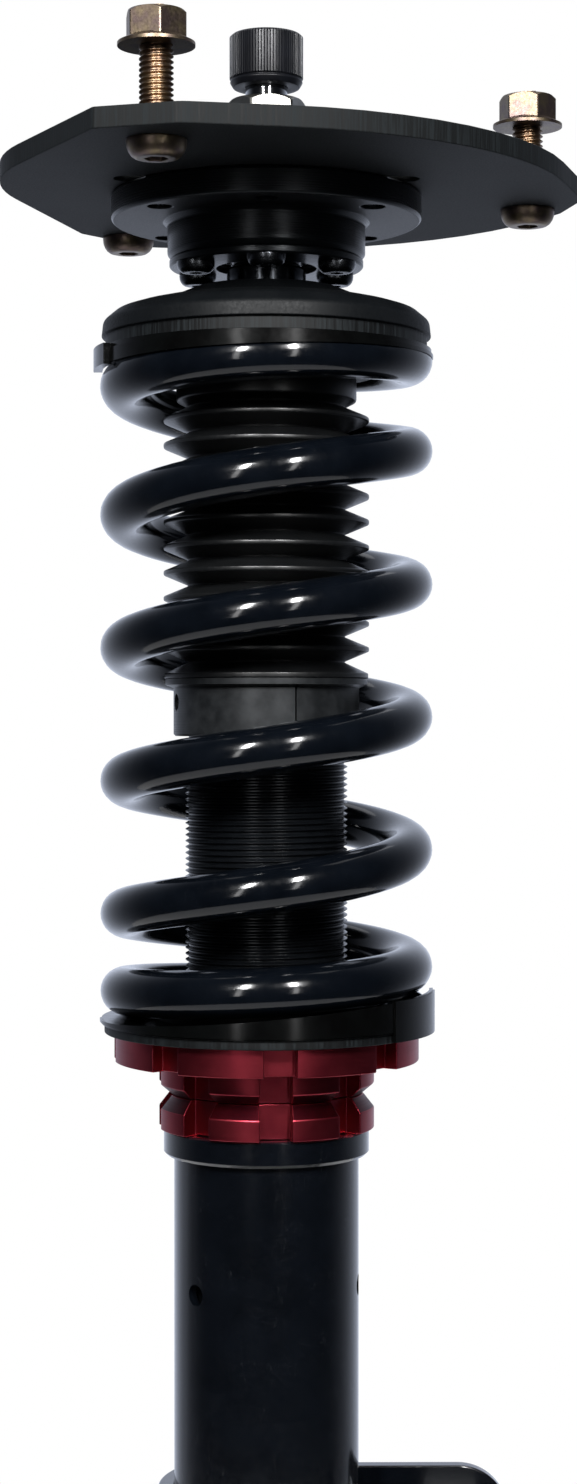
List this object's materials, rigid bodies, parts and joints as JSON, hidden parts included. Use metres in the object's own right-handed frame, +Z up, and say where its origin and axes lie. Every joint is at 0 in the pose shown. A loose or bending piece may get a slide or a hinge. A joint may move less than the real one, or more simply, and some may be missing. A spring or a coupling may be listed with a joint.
{
  "type": "coilover strut",
  "caption": "Height-adjustable coilover strut: camber plate with spherical bearing, coil spring, dust boot, threaded damper, red lock rings and lower casing with knuckle bracket.",
  "frame": {"origin": "on the strut axis, at the upper face of the top plate, which seats under the tower", "axes": "+Z up along the strut, towards the tower; +X along the camber slots, towards the knuckle bracket's ears; +Y away from the side seen from the front"},
  "size_m": [0.1466, 0.1593, 0.4529],
  "materials": {
    "plate_black": "satin black coat over brushed steel plate, edge shows vertical tool marks",
    "zinc_gold": "yellow passivated zinc plating with pink and green sheen",
    "black_screws": "black oxide on turned and rolled steel",
    "housing_black": "gloss black anodised, lathe turned",
    "bearing_steel": "ground bearing steel",
    "bearing_liner": "woven slide liner",
    "chrome_rod": "hard chromed and polished",
    "black_chrome": "dark chromed sleeve",
    "bright_steel": "bright zinc on hex steel",
    "seat_black": "satin black powder coat, turned band",
    "isolator_rubber": "moulded gloss rubber",
    "bump_foam": "cellular polyurethane",
    "knob_black": "black anodised with straight knurl",
    "inner_bronze": "machined bronze",
    "inner_steel": "machined and sintered steel",
    "spring_black": "gloss black powder coat on wound spring wire",
    "boot_rubber": "moulded rubber boot",
    "body_black": "black anodised rolled thread",
    "seal_rubber": "moulded nitrile rubber",
    "collar_black": "satin black anodised, turned",
    "red_anodised": "dark red anodised, turned and milled",
    "casing_black": "gloss black powder coat on steel tube"
  },
  "bodies": {
    "top_mount": {"top_plate": "plate_black", "plate_bolts": "zinc_gold"},
    "tower_nuts": {"tower_nuts": "zinc_gold"},
    "carrier": {"bearing_housing": "housing_black", "bearing_lid": "housing_black", "lid_screws": "black_screws", "camber_screws": "black_screws"},
    "race": {"bearing_race": "bearing_steel"},
    "liner": {"bearing_liner": "bearing_liner"},
    "rod": {"bearing_ball": "bearing_steel", "piston_rod": "chrome_rod", "upper_spacer": "bearing_steel", "lower_spacer": "black_chrome", "rod_nut": "bright_steel", "upper_seat": "seat_black", "upper_isolator": "isolator_rubber", "bump_stop": "bump_foam", "piston": "inner_steel", "piston_band": "inner_bronze", "rebound_shims": "inner_steel", "compression_shims": "inner_steel", "piston_nut": "inner_steel", "spring": "spring_black", "dust_boot": "boot_rubber"},
    "knob": {"adjuster_knob": "knob_black", "knob_grub_screw": "black_screws"},
    "needle": {"adjuster_needle": "inner_bronze"},
    "damper": {"damper_body": "body_black", "rod_guide": "inner_bronze", "rod_seal": "seal_rubber", "rod_wiper": "seal_rubber", "guide_o_ring": "seal_rubber", "retaining_ring": "inner_steel", "boot_collar": "collar_black", "collar_grub_screw": "black_screws", "gas_valve": "inner_bronze"},
    "floater": {"floating_piston": "inner_steel", "floating_piston_ring": "seal_rubber"},
    "spring_seat": {"lower_seat": "seat_black", "lower_isolator": "isolator_rubber"},
    "perch": {"perch_ring": "red_anodised", "upper_lock_ring": "red_anodised"},
    "lower_casing": {"casing": "casing_black", "knuckle_bracket": "casing_black", "base_plug": "casing_black"},
    "casing_lock": {"lower_lock_ring": "red_anodised"}
  },
  "joints": [
    {"name": "tower_nuts_off", "type": "slide", "parent": "top_mount", "child": "tower_nuts", "axis": [0, 0, 1], "range_m": [0, 0.06]},
    {"name": "camber_slide", "type": "slide", "parent": "top_mount", "child": "carrier", "axis": [1, 0, 0], "range_m": [-0.008, 0.008]},
    {"name": "mount_turn", "type": "hinge", "parent": "carrier", "child": "race", "pos_m": [0, 0, -0.01535], "axis": [0, 0, 1], "range_deg": [-45, 45]},
    {"name": "strut_tilt_side", "type": "hinge", "parent": "race", "child": "liner", "pos_m": [0, 0, -0.01535], "axis": [1, 0, 0], "range_deg": [-5, 5]},
    {"name": "strut_tilt_fore", "type": "hinge", "parent": "liner", "child": "rod", "pos_m": [0, 0, -0.01535], "axis": [0, 1, 0], "range_deg": [-5, 5]},
    {"name": "adjuster_turn", "type": "hinge", "parent": "rod", "child": "knob", "pos_m": [0, 0, 0.03], "axis": [0, 0, 1], "range_deg": [0, 1080]},
    {"name": "needle_lift", "type": "slide", "parent": "rod", "child": "needle", "axis": [0, 0, 1], "range_m": [0, 0.0021]},
    {"name": "damper_stroke", "type": "slide", "parent": "rod", "child": "damper", "axis": [0, 0, 1], "range_m": [0, 0.05], "deforming": ["spring", "dust_boot"]},
    {"name": "floater_slide", "type": "slide", "parent": "damper", "child": "floater", "axis": [0, 0, 1], "range_m": [-0.0085, 0]},
    {"name": "perch_lift", "type": "slide", "parent": "damper", "child": "spring_seat", "axis": [0, 0, 1], "range_m": [0, 0.0045]},
    {"name": "perch_turn", "type": "hinge", "parent": "spring_seat", "child": "perch", "pos_m": [0, 0, -0.22], "axis": [0, 0, 1], "range_deg": [0, 1080]},
    {"name": "ride_height", "type": "slide", "parent": "damper", "child": "lower_casing", "axis": [0, 0, -1], "range_m": [0, 0.03]},
    {"name": "casing_lock_turn", "type": "hinge", "parent": "lower_casing", "child": "casing_lock", "pos_m": [0, 0, -0.236], "axis": [0, 0, 1], "range_deg": [0, 40]}
  ],
  "couplings": [
    {"joint": "adjuster_turn", "follows": "needle_lift", "rad_per_m": 8975.9},
    {"joint": "floater_slide", "follows": "damper_stroke", "ratio": -0.1696},
    {"joint": "perch_turn", "follows": "perch_lift", "rad_per_m": 4188.7}
  ]
}
